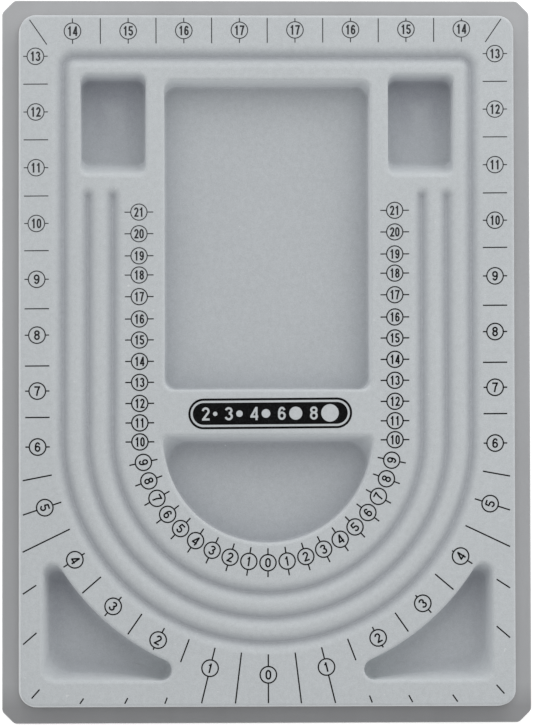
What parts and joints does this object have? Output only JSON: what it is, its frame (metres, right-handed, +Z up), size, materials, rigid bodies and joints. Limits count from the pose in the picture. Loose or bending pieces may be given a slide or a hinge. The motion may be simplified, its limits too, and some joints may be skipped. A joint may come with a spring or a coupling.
{
  "type": "bead board",
  "caption": "Flocked bead design board: a shallow vacuum-formed tray with concentric U-shaped strand channels, measuring scales beside them and recesses that hold loose beads.",
  "frame": {"origin": "on the table, under the middle of the rim", "axes": "+X across the board to the right, +Y along the board to the end with the square recesses, +Z up out of the flocked face"},
  "size_m": [0.2414, 0.3302, 0.019],
  "materials": {
    "sheet": "satin vacuum-formed polystyrene sheet, mid grey",
    "flock": "short grey nylon flock, matt and velvety"
  },
  "bodies": {
    "root": {"tray_shell": "sheet", "flock_coat": "flock"}
  },
  "joints": []
}
